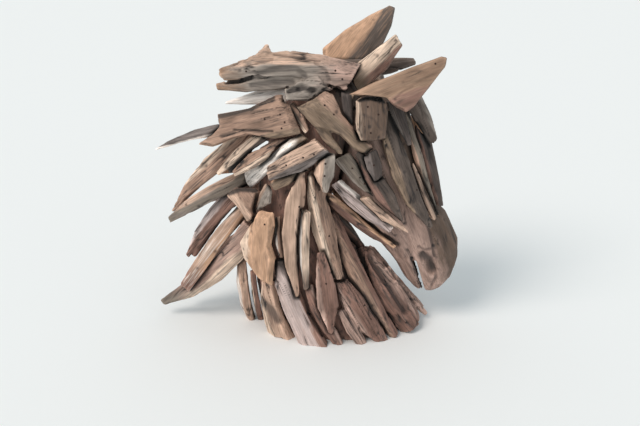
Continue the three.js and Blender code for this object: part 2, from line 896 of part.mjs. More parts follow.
// Puts a piece in place, cut to fit those before it, and keeps the seat it needs itself
function place(name, tone, solid, seat) {
  const cut = seats.reduce((rest, other) => rest.subtract(other), solid.subtract(belowFloor));
  const material = new THREE.MeshStandardMaterial({ ...TONES[tone], metalness: 0 });
  const mesh = new THREE.Mesh(geometryOf(withoutChips(cut)), material);
  mesh.name = name;
  sculpture.add(mesh);
  seats.push(seat);
}

for (const [name, { tone, limbs }] of Object.entries({ ...WOOD, ...FAR_BUNDLES }))
  place(name, tone, piece(name, limbs), piece(name, limbs, GAP));
place("head_block", "muzzle", headBlock(), headForm(GAP));
place("neck_block", "core", neckBlock(), neckBlock());

export default sculpture;
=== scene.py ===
"""A horse's head and neck of driftwood, nailed up from sea-worn sticks over a carved muzzle.

Every solid of the frame is dressed as the stick it stands for: its edges are worn round, its
grain, cracks and pits are cut into the mesh, and its wood is coloured along its own length.
"""

import json
import logging
import math
from dataclasses import dataclass, field
from enum import Enum

import bmesh
import bpy
import numpy as np
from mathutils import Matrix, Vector
from mathutils.bvhtree import BVHTree


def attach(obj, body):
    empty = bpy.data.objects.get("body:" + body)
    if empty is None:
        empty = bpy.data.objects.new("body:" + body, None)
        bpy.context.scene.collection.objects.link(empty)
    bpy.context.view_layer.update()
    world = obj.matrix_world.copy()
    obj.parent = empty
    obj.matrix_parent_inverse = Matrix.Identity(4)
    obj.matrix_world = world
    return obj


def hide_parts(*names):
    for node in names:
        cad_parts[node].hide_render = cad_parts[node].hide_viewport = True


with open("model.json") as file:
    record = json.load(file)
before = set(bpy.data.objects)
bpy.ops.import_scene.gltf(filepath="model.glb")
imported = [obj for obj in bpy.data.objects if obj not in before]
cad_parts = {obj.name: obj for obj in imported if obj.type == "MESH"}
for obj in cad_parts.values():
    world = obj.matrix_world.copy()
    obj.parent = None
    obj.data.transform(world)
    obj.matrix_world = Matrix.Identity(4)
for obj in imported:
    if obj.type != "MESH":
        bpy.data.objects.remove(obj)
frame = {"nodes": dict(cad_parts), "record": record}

LOG = logging.getLogger("driftwood_horse")
MM = 0.001
BODY = "root"
Place = tuple[float, float]
Colour = tuple[float, float, float, float]
Socket = bpy.types.NodeSocket
Tree = bpy.types.NodeTree
Piece = bpy.types.Object
Paint = Socket | Colour
MIRROR = np.array([1.0, -1.0, 1.0])


class Tone(Enum):
    """Colours of driftwood, as sRGB hex, from bleached to the near black painted as shade in a gap."""

    CHALK = "fbf2ea"
    BONE = "e8dcd3"
    CREAM = "e0c6b1"
    SAND = "c6a793"
    LILAC = "ccb8b2"
    ROSE = "b6988b"
    HONEY = "cca487"
    EARTH = "a1836e"
    TAN = "ab8c7a"
    FAWN = "8f7a68"
    SILVER = "a5998f"
    MAUVE = "7a706c"
    ASH = "746b65"
    OLIVE = "83786d"
    RUST = "8e6e62"
    HAZEL = "6f5c50"
    UMBER = "655952"
    COCOA = "534a46"
    # Bark, and also the near black painted as shade in cracks, pits and cuts.
    BARK = "3b3736"
    # Near black painted as shade in the gaps between sticks.
    GAP_SHADE = "171a1b"

    @property
    def linear(self) -> Colour:
        """The colour as linear RGBA."""
        return linear_from_hex(self.value)


class Side(Enum):
    """Which way across a stick, as the photograph shows it: right and up are positive."""

    LEFT = -1.0
    RIGHT = 1.0


def linear_from_hex(code: str) -> Colour:
    """Turns an sRGB hex colour to linear.

    Args:
        code: Six hex digits.

    Returns:
        Linear red, green, blue and an alpha of 1.
    """
    parts = [int(code[i : i + 2], 16) / 255 for i in (0, 2, 4)]
    lin = [c / 12.92 if c <= 0.04045 else ((c + 0.055) / 1.055) ** 2.4 for c in parts]
    return (lin[0], lin[1], lin[2], 1.0)


def add_node(
    tree: Tree,
    kind: str,
    inputs: dict[str | int, object] | None = None,
    out: int | str = 0,
    **settings: object,
) -> Socket | None:
    """Adds a node with its settings, values and links.

    Args:
        tree: The tree it goes into.
        kind: The node's type.
        inputs: Values, or sockets to link from, by input name or index.
        out: Which of its outputs is wanted.
        settings: The node's own properties.

    Returns:
        The output, or None for a node that has none.
    """
    made = tree.nodes.new(kind)
    for key, value in settings.items():
        setattr(made, key, value)
    for key, value in (inputs or {}).items():
        if isinstance(value, Socket):
            tree.links.new(value, made.inputs[key])
        else:
            made.inputs[key].default_value = value
    return made.outputs[out] if made.outputs else None


def grain_noise(
    tree: Tree,
    grain: Socket,
    size_mm: tuple[float, float, float],
    detail: float,
    seed: Socket | None = None,
) -> Socket:
    """Noise drawn out along the grain.

    Args:
        tree: The tree it goes into.
        grain: The grain coordinate, in metres.
        size_mm: The pattern's size along, across and through the stick.
        detail: The noise's detail.
        seed: Which pattern it is, where sticks share a tree.

    Returns:
        A value from 0 to 1.
    """
    scale = tuple(1 / (s * MM) for s in size_mm)
    drawn = add_node(tree, "ShaderNodeVectorMath", {0: grain, 1: scale}, operation="MULTIPLY")
    values = {"Vector": drawn, "Scale": 1.0, "Detail": detail}
    if seed is None:
        return add_node(tree, "ShaderNodeTexNoise", values)
    return add_node(tree, "ShaderNodeTexNoise", {**values, "W": seed}, noise_dimensions="4D")


@dataclass(frozen=True)
class Drawing:
    """The photograph's viewpoint. A place is millimetres right of and above its centre."""

    tilt_deg: float = 22.0
    distance: float = 1.25
    centre: tuple[float, float, float] = (-0.024, 0.0, 0.150)
    width: float = 640 * 1.3 * MM

    @property
    def ahead(self) -> Vector:
        """The way the viewer looks."""
        tilt = math.radians(self.tilt_deg)
        return Vector((0, math.cos(tilt), -math.sin(tilt)))

    @property
    def up(self) -> Vector:
        """The picture's upward direction."""
        tilt = math.radians(self.tilt_deg)
        return Vector((0, math.sin(tilt), math.cos(tilt)))

    @property
    def eye(self) -> Vector:
        """Where the viewer stands."""
        return Vector(self.centre) - self.ahead * self.distance

    def sight(self, place: Place) -> Vector:
        """The direction of the line of sight through a place."""
        target = Vector(self.centre) + Vector((place[0] * MM, 0, 0)) + self.up * (place[1] * MM)
        return (target - self.eye).normalized()

    def at_side(self, place: Place, side_mm: float) -> Vector:
        """Where a line of sight crosses the upright plane that far beside the middle one."""
        way = self.sight(place)
        return self.eye + way * ((side_mm * MM - self.eye.y) / way.y)

    def places_of(self, points: np.ndarray) -> np.ndarray:
        """Where points appear on the picture.

        Args:
            points: Points in metres, one a row.

        Returns:
            Places in millimetres, one a row.
        """
        reach = points - np.array(self.eye)
        depth = reach @ np.array(self.ahead)
        scale = self.distance / depth / MM
        return np.stack([reach[:, 0] * scale, (reach @ np.array(self.up)) * scale], axis=1)

    def place_camera(self) -> None:
        """Puts the scene's camera at the photograph's viewpoint."""
        lens = bpy.data.cameras.new("camera")
        lens.sensor_width = 36.0
        lens.lens = lens.sensor_width * self.distance / self.width
        camera = bpy.data.objects.new("camera", lens)
        bpy.context.scene.collection.objects.link(camera)
        camera.location = self.eye
        camera.rotation_euler = self.ahead.to_track_quat("-Z", "Y").to_euler()
        bpy.context.scene.camera = camera


DRAWING = Drawing()


@dataclass(frozen=True)
class Relief:
    """How a stick's surface is worn, in millimetres."""

    wave: float = 1.5
    rib: float = 0.5
    crack: float = 1.4
    pit: float = 0.8
    rib_spacing: float = 2.6
    cracks: float = 0.7


class Wear(Enum):
    """The ways that the sea has worn the sticks."""

    SMOOTH = Relief(wave=0.9, rib=0.12, crack=0.4, pit=0.3, cracks=0.2)
    PLAIN = Relief()
    RIBBED = Relief(wave=1.5, rib=0.8, crack=1.6, rib_spacing=3.2, cracks=0.6)
    GNARLED = Relief(wave=2.6, rib=0.7, crack=2.2, pit=1.4, rib_spacing=3.4, cracks=0.8)
    CARVED = Relief(wave=1.6, rib=0.3, crack=1.2, pit=1.2, cracks=0.5)
    PLAINER = Relief(wave=1.4, rib=0.5, crack=1.4, pit=0.6, rib_spacing=3.4, cracks=0.5)


@dataclass(frozen=True)
class Driftwood:
    """Sea-worn, sun-bleached softwood: dull, streaked along the grain, with painted shade in cracks and gaps.

    The eye sees a pale dry face, a second tone along one edge or facet, partly the split wood's
    own colour and partly painted light and shade on a lit or shaded facet, thin dark streaks 2 to 6
    mm apart, remains of bark and darker soaked ends, one of them a painted cast shadow.
    """

    face: Tone
    edge: Tone
    side: Side = Side.RIGHT
    split: float = 0.35
    streak: Tone = Tone.UMBER
    streaks: float = 0.5
    tip: Tone | None = None
    root: Tone | None = None
    bark: float = 0.0
    roughness: float = 0.85
    limbs: tuple[Tone, ...] = ()

    # Pattern sizes along, across and through a stick, in millimetres.
    BLOTCH_MM = (38, 11, 11)
    STREAK_MM = (46, 1.9, 1.9)
    FIBRE_MM = (18, 0.8, 0.8)
    BARK_MM = (30, 12, 12)
    # Where a pattern starts and ends, and the brightness it gives there.
    TINT = {1: 0.28, 2: 0.72, 3: 0.6, 4: 1.34}
    THREAD = {1: 0.3, 2: 0.7, 3: 0.82, 4: 1.16}
    # Rounded edges brightened up to 1.6 times: bleached wear and painted highlight.
    RUB_AND_HIGHLIGHT = {1: 0.0, 2: 1.0, 3: 0.92, 4: 1.6}
    STREAK_BAND = (0.51, 0.63)
    # How far the blotches move the split and the ends, and how soft those are.
    SPLIT_WANDER = 0.7
    SPLIT_BAND = (0.27, 0.45)
    END_WANDER = 0.35
    TIP_BAND = (0.86, 1.08)
    ROOT_BAND = (0.42, 0.22)
    BARK_START = 0.72
    BARK_SPREAD = 0.3
    BARK_RIM = 0.06
    # How strongly the painted shade near other sticks darkens the wood.
    JOINT_SHADE_STRENGTH = 0.86
    BUMP_MM = 0.4

    def material(self, name: str) -> bpy.types.Material:
        """Makes the wood's material.

        Args:
            name: The material's name.

        Returns:
            The material, which reads the attributes that the sticks carry.
        """
        made = bpy.data.materials.new(name)
        made.use_nodes = True
        tree = made.node_tree
        tree.nodes.clear()
        marks = (
            ("grain", "Vector"), ("share", "Vector"), ("crack", "Fac"), ("joint_shade", "Fac"), ("worn", "Fac")
        )
        grain, share, crack, joint_shade, worn = (
            add_node(tree, "ShaderNodeAttribute", out=key, attribute_name=name) for name, key in marks
        )
        blotch = grain_noise(tree, grain, self.BLOTCH_MM, 3.0)
        streak = grain_noise(tree, grain, self.STREAK_MM, 3.0)
        fibre = grain_noise(tree, grain, self.FIBRE_MM, 2.0)
        colour = self._two_tones(tree, share, blotch)
        colour = self._ends(tree, colour, share, blotch)
        if self.bark:
            colour = self._bark(tree, colour, grain)
        low, high = self.STREAK_BAND
        lines = add_node(
            tree, "ShaderNodeMapRange", {0: streak, 1: low, 2: high, 3: 0.0, 4: self.streaks}
        )
        colour = self._mix(tree, lines, colour, self.streak.linear)
        # The last factor brightens rounded edges: bleached wear and painted highlight.
        for pattern, span in ((blotch, self.TINT), (fibre, self.THREAD), (worn, self.RUB_AND_HIGHLIGHT)):
            factor = add_node(tree, "ShaderNodeMapRange", {0: pattern, **span})
            colour = add_node(
                tree, "ShaderNodeVectorMath", {0: colour, "Scale": factor}, operation="SCALE"
            )
        # Painted shade in cracks, pits and gouge cuts.
        colour = self._mix(tree, crack, colour, Tone.BARK.linear)
        # Painted shade where another stick lies within a few millimetres.
        painted_shade = add_node(tree, "ShaderNodeMath", {0: joint_shade, 1: self.JOINT_SHADE_STRENGTH}, operation="MULTIPLY")
        colour = self._mix(tree, painted_shade, colour, Tone.GAP_SHADE.linear)
        height = add_node(tree, "ShaderNodeMath", {0: streak, 1: fibre}, operation="ADD")
        bump = add_node(
            tree, "ShaderNodeBump", {"Height": height, "Strength": 0.5, "Distance": self.BUMP_MM * MM}
        )
        shader = add_node(
            tree,
            "ShaderNodeBsdfPrincipled",
            {
                "Base Color": colour,
                "Normal": bump,
                "Roughness": self.roughness,
                "IOR": 1.45,
                "Specular IOR Level": 0.3,
            },
        )
        add_node(tree, "ShaderNodeOutputMaterial", {"Surface": shader})
        return made

    @staticmethod
    def _mix(tree: Tree, factor: Socket, base: Paint, over: Paint) -> Socket:
        """Mixes a colour over another, by a value or socket."""
        return add_node(tree, "ShaderNodeMix", {0: factor, 6: base, 7: over}, data_type="RGBA", out=2)

    def _two_tones(self, tree: Tree, share: Socket, blotch: Socket) -> Socket:
        """The face's tone, and the edge's tone past the split, partly painted light and shade.

        Args:
            tree: The material's tree.
            share: Where a point is along, across and through the stick.
            blotch: The slow noise that makes borders wander.

        Returns:
            The colour.
        """
        if self.limbs:
            stick = add_node(tree, "ShaderNodeAttribute", attribute_name="stick", out="Fac")
            ramp = add_node(tree, "ShaderNodeValToRGB", {0: stick})
            ramp.node.color_ramp.interpolation = "CONSTANT"
            while len(ramp.node.color_ramp.elements) < len(self.limbs):
                ramp.node.color_ramp.elements.new(0.5)
            for i, tone in enumerate(self.limbs):
                ramp.node.color_ramp.elements[i].position = i / len(self.limbs)
                ramp.node.color_ramp.elements[i].color = tone.linear
            face = ramp
        else:
            face = self.face.linear
        across = add_node(tree, "ShaderNodeSeparateXYZ", {0: share}, out=1)
        turned = add_node(tree, "ShaderNodeMath", {0: across, 1: self.side.value}, operation="MULTIPLY")
        wavy = add_node(
            tree, "ShaderNodeMath", {0: blotch, 1: self.SPLIT_WANDER, 2: turned}, operation="MULTIPLY_ADD"
        )
        low, high = self.SPLIT_BAND
        past = add_node(tree, "ShaderNodeMapRange", {0: wavy, 1: self.split + low, 2: self.split + high})
        return self._mix(tree, past, face, self.edge.linear)

    def _ends(self, tree: Tree, colour: Socket, share: Socket, blotch: Socket) -> Socket:
        """The soaked or bleached ends, and on foot_pink a painted shadow at the upper end.

        Args:
            tree: The material's tree.
            colour: The colour so far.
            share: Where a point is along, across and through the stick.
            blotch: The slow noise that makes borders wander.

        Returns:
            The colour with its ends.
        """
        along = add_node(tree, "ShaderNodeSeparateXYZ", {0: share})
        ragged = add_node(
            tree, "ShaderNodeMath", {0: blotch, 1: self.END_WANDER, 2: along}, operation="MULTIPLY_ADD"
        )
        for tone, (low, high) in ((self.tip, self.TIP_BAND), (self.root, self.ROOT_BAND)):
            if tone:
                near = add_node(tree, "ShaderNodeMapRange", {0: ragged, 1: low, 2: high})
                colour = self._mix(tree, near, colour, tone.linear)
        return colour

    def _bark(self, tree: Tree, colour: Socket, grain: Socket) -> Socket:
        """Patches of bark that still hold on.

        Args:
            tree: The material's tree.
            colour: The colour so far.
            grain: The grain coordinate, in metres.

        Returns:
            The colour with its bark.
        """
        patch = grain_noise(tree, grain, self.BARK_MM, 4.0)
        edge = self.BARK_START - self.BARK_SPREAD * self.bark
        there = add_node(tree, "ShaderNodeMapRange", {0: patch, 1: edge, 2: edge + self.BARK_RIM})
        return self._mix(tree, there, colour, Tone.BARK.linear)


@dataclass(frozen=True)
class RustyIron:
    """Blackened brad heads: dull dark iron with brown rust, which reads as a dark dot."""

    face: str = "2a2523"
    rust: str = "4d3328"
    spot_mm: float = 1.2

    def material(self) -> bpy.types.Material:
        """Makes the iron's material.

        Returns:
            The material.
        """
        made = bpy.data.materials.new("rusty_iron_brads")
        made.use_nodes = True
        tree = made.node_tree
        tree.nodes.clear()
        where = add_node(tree, "ShaderNodeTexCoord", out="Object")
        spots = add_node(
            tree, "ShaderNodeTexNoise", {"Vector": where, "Scale": 1 / (self.spot_mm * MM), "Detail": 3.0}
        )
        colour = add_node(
            tree,
            "ShaderNodeMix",
            {0: spots, 6: linear_from_hex(self.face), 7: linear_from_hex(self.rust)},
            data_type="RGBA",
            out=2,
        )
        shader = add_node(
            tree, "ShaderNodeBsdfPrincipled", {"Base Color": colour, "Metallic": 0.4, "Roughness": 0.75}
        )
        add_node(tree, "ShaderNodeOutputMaterial", {"Surface": shader})
        return made


class ReliefTree:
    """The node tree that cuts waves, ribs, cracks and pits along a stick's grain, and stores painted shade for
    them.
    """

    WAVE_MM = (48, 12, 12)
    CONTOUR_MM = (70, 9, 9)
    PLACE_MM = (34, 20, 20)
    RIB_LENGTH_MM = 40.0
    PIT_SPACING_MM = 13
    PIT_RIM = {1: 0.1, 2: 0.24, 3: 1.0, 4: 0.0}
    # How much painted shade a pit gets.
    PIT_SHADE = 0.6
    CRACK_LINE = {1: 0.0, 2: 0.035, 3: 1.0, 4: 0.0}
    CRACK_RARITY = {1: -0.3, 2: 0.7}
    CRACK_REACH = 0.12
    SEED_STEP = 7.31
    SIZES = ("Wave height", "Rib height", "Crack depth", "Pit depth", "Rib spacing", "Cracks", "Seed")

    def __init__(self) -> None:
        """Builds the tree once, for every stick."""
        self.tree = bpy.data.node_groups.new("driftwood_relief", "GeometryNodeTree")
        face = self.tree.interface
        face.new_socket("Geometry", in_out="INPUT", socket_type="NodeSocketGeometry")
        self.keys: dict[str, str] = {}
        for name in self.SIZES:
            socket = face.new_socket(name, in_out="INPUT", socket_type="NodeSocketFloat")
            self.keys[name] = socket.identifier
        self.finish_key = face.new_socket(
            "Finish", in_out="INPUT", socket_type="NodeSocketMaterial"
        ).identifier
        face.new_socket("Geometry", in_out="OUTPUT", socket_type="NodeSocketGeometry")
        self._build()

    def _build(self) -> None:
        """Adds the nodes."""
        tree = self.tree
        given = add_node(tree, "NodeGroupInput").node.outputs
        grain = add_node(
            tree, "GeometryNodeInputNamedAttribute", {"Name": "grain"}, data_type="FLOAT_VECTOR"
        )
        carved = add_node(tree, "GeometryNodeInputNamedAttribute", {"Name": "carved"}, data_type="FLOAT")
        wave = grain_noise(tree, grain, self.WAVE_MM, 2.0, given["Seed"])
        spaced = add_node(
            tree,
            "ShaderNodeCombineXYZ",
            {0: self.RIB_LENGTH_MM * MM, 1: given["Rib spacing"], 2: given["Rib spacing"]},
        )
        ribbed = add_node(tree, "ShaderNodeVectorMath", {0: grain, 1: spaced}, operation="DIVIDE")
        rib = add_node(
            tree,
            "ShaderNodeTexNoise",
            {"Vector": ribbed, "W": given["Seed"], "Scale": 1.0, "Detail": 1.0},
            noise_dimensions="4D",
        )
        contour = grain_noise(tree, grain, self.CONTOUR_MM, 1.0, given["Seed"])
        off = add_node(tree, "ShaderNodeMath", {0: contour, 1: 0.5}, operation="SUBTRACT")
        off = add_node(tree, "ShaderNodeMath", {0: off}, operation="ABSOLUTE")
        line = add_node(tree, "ShaderNodeMapRange", {0: off, **self.CRACK_LINE})
        where = grain_noise(tree, grain, self.PLACE_MM, 0.0, given["Seed"])
        rare = add_node(
            tree, "ShaderNodeMath", {0: given["Cracks"], **self.CRACK_RARITY}, operation="MULTIPLY_ADD"
        )
        soon = add_node(tree, "ShaderNodeMath", {0: rare, 1: self.CRACK_REACH}, operation="ADD")
        open_ = add_node(tree, "ShaderNodeMapRange", {0: where, 1: rare, 2: soon})
        crack = add_node(tree, "ShaderNodeMath", {0: line, 1: open_}, operation="MULTIPLY")
        dotted = add_node(
            tree,
            "ShaderNodeVectorMath",
            {0: grain, "Scale": 1 / (self.PIT_SPACING_MM * MM)},
            operation="SCALE",
        )
        cells = add_node(
            tree,
            "ShaderNodeTexVoronoi",
            {"Vector": dotted, "W": given["Seed"], "Scale": 1.0},
            voronoi_dimensions="4D",
        )
        pit = add_node(tree, "ShaderNodeMapRange", {0: cells, **self.PIT_RIM})
        depths = (
            (wave, given["Wave height"], 2.0, -1.0),
            (rib, given["Rib height"], 2.0, -1.0),
            (crack, given["Crack depth"], -1.0, 0.0),
            (pit, given["Pit depth"], -1.0, 0.0),
            (carved, 1.0, 1.0, 0.0),
        )
        height: Socket | None = None
        for pattern, size, gain, shift in depths:
            level = add_node(
                tree, "ShaderNodeMath", {0: pattern, 1: gain, 2: shift}, operation="MULTIPLY_ADD"
            )
            part = add_node(tree, "ShaderNodeMath", {0: level, 1: size}, operation="MULTIPLY")
            if height is None:
                height = part
            else:
                height = add_node(tree, "ShaderNodeMath", {0: height, 1: part}, operation="ADD")
        normal = add_node(tree, "GeometryNodeInputNormal")
        push = add_node(tree, "ShaderNodeVectorMath", {0: normal, "Scale": height}, operation="SCALE")
        moved = add_node(tree, "GeometryNodeSetPosition", {"Geometry": given["Geometry"], "Offset": push})
        # Painted shade for cracks, pits and gouge cuts, kept in the crack attribute.
        ink = add_node(tree, "GeometryNodeInputNamedAttribute", {"Name": "crack"}, data_type="FLOAT")
        dark = add_node(
            tree, "ShaderNodeMath", {0: pit, 1: self.PIT_SHADE, 2: crack}, operation="MULTIPLY_ADD"
        )
        dark = add_node(tree, "ShaderNodeMath", {0: dark, 1: ink}, operation="ADD", use_clamp=True)
        kept = add_node(
            tree,
            "GeometryNodeStoreNamedAttribute",
            {"Geometry": moved, "Name": "crack", "Value": dark},
            data_type="FLOAT",
            domain="POINT",
        )
        real = add_node(tree, "GeometryNodeRealizeInstances", {"Geometry": kept})
        done = add_node(tree, "GeometryNodeSetMaterial", {"Geometry": real, "Material": given["Finish"]})
        add_node(tree, "NodeGroupOutput", {"Geometry": done})

    def cut(self, piece: Piece, relief: Relief, seed: int, finish: bpy.types.Material) -> None:
        """Cuts the relief into a piece's mesh and gives it its finish.

        Args:
            piece: The piece, whose mesh is replaced.
            relief: The sizes.
            seed: Which pattern it gets.
            finish: Its material.
        """
        worker = piece.modifiers.new("relief", "NODES")
        worker.node_group = self.tree
        sizes = (
            relief.wave * MM, relief.rib * MM, relief.crack * MM, relief.pit * MM, relief.rib_spacing * MM
        )
        for name, value in zip(self.SIZES, (*sizes, relief.cracks, seed * self.SEED_STEP)):
            worker[self.keys[name]] = float(value)
        worker[self.finish_key] = finish
        plain_mesh(piece)


def plain_mesh(piece: Piece) -> None:
    """Replaces a piece's mesh by what its modifiers make, and removes them.

    Args:
        piece: The piece.
    """
    bpy.context.view_layer.update()
    graph = bpy.context.evaluated_depsgraph_get()
    made = bpy.data.meshes.new_from_object(piece.evaluated_get(graph))
    piece.modifiers.clear()
    old = piece.data
    piece.data = made
    bpy.data.meshes.remove(old)


def rows_of(items: bpy.types.bpy_prop_collection, key: str, width: int, kind: type) -> np.ndarray:
    """Reads one property of many items.

    Args:
        items: The items, such as a mesh's vertices.
        key: The property's name.
        width: How many numbers it has.
        kind: The numbers' type in the mesh.

    Returns:
        The numbers, one item a row.
    """
    flat = np.empty(len(items) * width, kind)
    items.foreach_get(key, flat)
    return flat.reshape(-1, width)


def points_of(mesh: bpy.types.Mesh) -> np.ndarray:
    """A mesh's points, one a row."""
    return rows_of(mesh.vertices, "co", 3, np.float32).astype(float)


def normals_of(mesh: bpy.types.Mesh) -> np.ndarray:
    """The normals at a mesh's points, one a row."""
    return rows_of(mesh.vertex_normals, "vector", 3, np.float32).astype(float)


def move_points(mesh: bpy.types.Mesh, points: np.ndarray) -> None:
    """Gives a mesh's points new places."""
    mesh.vertices.foreach_set("co", points.astype(np.float32).ravel())
    mesh.update()


def averaged(values: np.ndarray, edges: np.ndarray) -> np.ndarray:
    """The mean of each point's neighbours.

    Args:
        values: A value or vector for each point.
        edges: Pairs of point numbers.

    Returns:
        The means, in the same form.
    """
    count = np.zeros(len(values))
    np.add.at(count, edges.ravel(), 1.0)
    total = np.zeros_like(values)
    np.add.at(total, edges[:, 0], values[edges[:, 1]])
    np.add.at(total, edges[:, 1], values[edges[:, 0]])
    return total / np.maximum(count, 1.0).reshape(-1, *([1] * (values.ndim - 1)))


def smooth_step(values: np.ndarray, low: float, high: float) -> np.ndarray:
    """Rises smoothly from 0 at low to 1 at high."""
    t = np.clip((values - low) / (high - low), 0, 1)
    return t * t * (3 - 2 * t)


def set_attribute(mesh: bpy.types.Mesh, name: str, values: np.ndarray) -> None:
    """Stores a value or vector for each point of a mesh.

    Args:
        mesh: The mesh.
        name: The attribute's name.
        values: The values, one a row.
    """
    vector = values.ndim == 2
    made = mesh.attributes.new(name, "FLOAT_VECTOR" if vector else "FLOAT", "POINT")
    made.data.foreach_set("vector" if vector else "value", values.astype(np.float32).ravel())


@dataclass(frozen=True)
class GrainFrame:
    """A stick's own axes: along its grain, across it in the picture, and towards the viewer."""

    middle: np.ndarray
    axes: np.ndarray
    low: np.ndarray
    high: np.ndarray

    @staticmethod
    def of(points: np.ndarray, mirrored: bool = False) -> "GrainFrame":
        """Finds a stick's axes.

        Args:
            points: Its points.
            mirrored: Whether the frame is for the stick's image across the middle plane.

        Returns:
            The frame.
        """
        middle = points.mean(axis=0)
        along = np.linalg.svd(points - middle, full_matrices=False)[2][0]
        along = along * np.sign(0.3 * along[0] - along[2] + 1e-9)
        across = np.cross(along, np.array(DRAWING.ahead))
        across = across / np.linalg.norm(across)
        across = across * np.sign(across[0] + 0.2 * across[2] + 1e-9)
        out = np.cross(along, across)
        out = out * np.sign(-out[1] + 1e-9)
        axes = np.stack([along, across, out])
        local = (points - middle) @ axes.T
        if mirrored:
            middle, axes = middle * MIRROR, axes * MIRROR
        return GrainFrame(middle, axes, local.min(axis=0), local.max(axis=0))

    @staticmethod
    def along_line(start: Vector, end: Vector, width: float, thick: float) -> "GrainFrame":
        """The frame of a stick that runs between two points.

        Args:
            start: Where its middle line starts.
            end: Where it ends.
            width: Its width, in metres.
            thick: Its thickness, in metres.

        Returns:
            The frame.
        """
        line = end - start
        steps = [start + line * t for t in (0.0, 0.5, 1.0)]
        spread = GrainFrame.of(np.array([list(p) for p in steps]))
        half = np.array([line.length / 2, width / 2, thick / 2])
        return GrainFrame(spread.middle, spread.axes, -half, half)

    def local(self, points: np.ndarray) -> np.ndarray:
        """Points as distances along, across and out."""
        return (points - self.middle) @ self.axes.T

    def shares(self, local: np.ndarray) -> np.ndarray:
        """Local points as 0 to 1 along, and -1 to 1 across and out."""
        span = (local - self.low) / np.maximum(self.high - self.low, 1e-6)
        return np.stack([span[:, 0], 2 * span[:, 1] - 1, 2 * span[:, 2] - 1], axis=1)

    def reach(self, points: np.ndarray) -> np.ndarray:
        """How far points are from the stick's middle, where 1 is its surface.

        Args:
            points: Points in metres, one a row.

        Returns:
            The distances.
        """
        middle = (self.low + self.high) / 2
        half = np.maximum((self.high - self.low) / 2, 1e-6)
        return np.linalg.norm(((self.local(points) - middle) / half) ** 2, axis=1)


@dataclass(frozen=True)
class Stroke:
    """A cut with a gouge along places of the picture, into whatever the sight lines meet first, with painted
    shade in it.
    """

    places: tuple[Place, ...]
    width: float
    depth: float
    # How dark the painted shade in the cut is.
    ink: float = 0.6
    both_sides: bool = False

    def distance(self, places: np.ndarray) -> np.ndarray:
        """The distance of places from the stroke's line, in millimetres.

        Args:
            places: Places on the picture, one a row.

        Returns:
            The distances.
        """
        best = np.full(len(places), np.inf)
        for a, b in zip(self.places, self.places[1:]):
            start, line = np.array(a), np.array(b) - np.array(a)
            t = np.clip(((places - start) @ line) / (line @ line), 0, 1)
            best = np.minimum(best, np.linalg.norm(places - start - t[:, None] * line, axis=1))
        return best


@dataclass(frozen=True)
class Stick:
    """One piece of wood: the node it stands for, its finish, its wear and its own cuts."""

    node: str
    finish: Driftwood
    wear: Wear = Wear.PLAIN
    strokes: tuple[Stroke, ...] = ()


